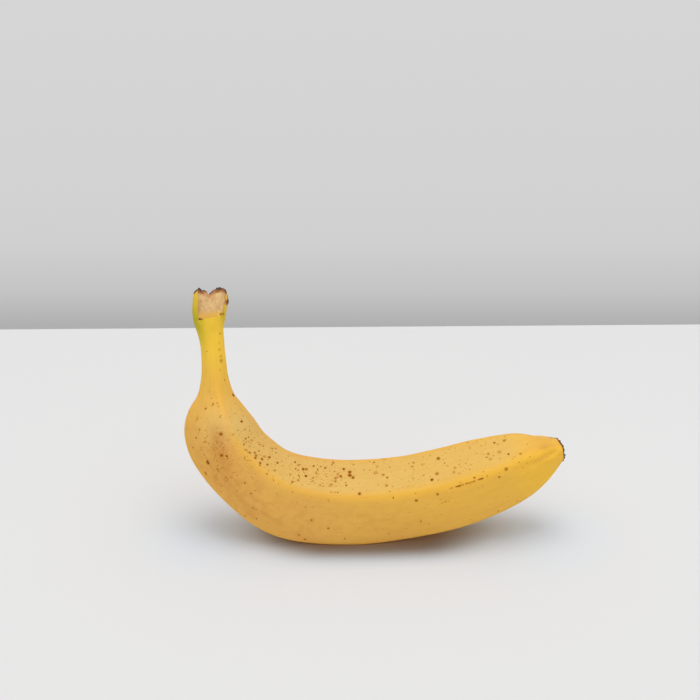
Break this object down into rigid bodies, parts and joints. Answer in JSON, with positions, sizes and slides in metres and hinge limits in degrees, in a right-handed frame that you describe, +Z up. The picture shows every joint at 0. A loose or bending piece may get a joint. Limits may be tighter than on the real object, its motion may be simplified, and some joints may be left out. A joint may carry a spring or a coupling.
{
  "type": "banana",
  "caption": "Whole ripe banana with peel, bent body with five blunt ridges, torn stalk end and dried blossom tip, lying on its belly.",
  "frame": {"origin": "centre of the bounding box in X and Y, on the surface it rests on", "axes": "+X from the stalk end to the blossom tip, +Z up, -Y the side it shows, away from which the stalk leans"},
  "size_m": [0.1726, 0.052, 0.1107],
  "materials": {
    "peel": "waxy satin peel, ripe yellow with brown freckles; pale torn fibres at the stalk end and a dark dry scar at the tip"
  },
  "bodies": {
    "root": {"banana": "peel"}
  },
  "joints": []
}
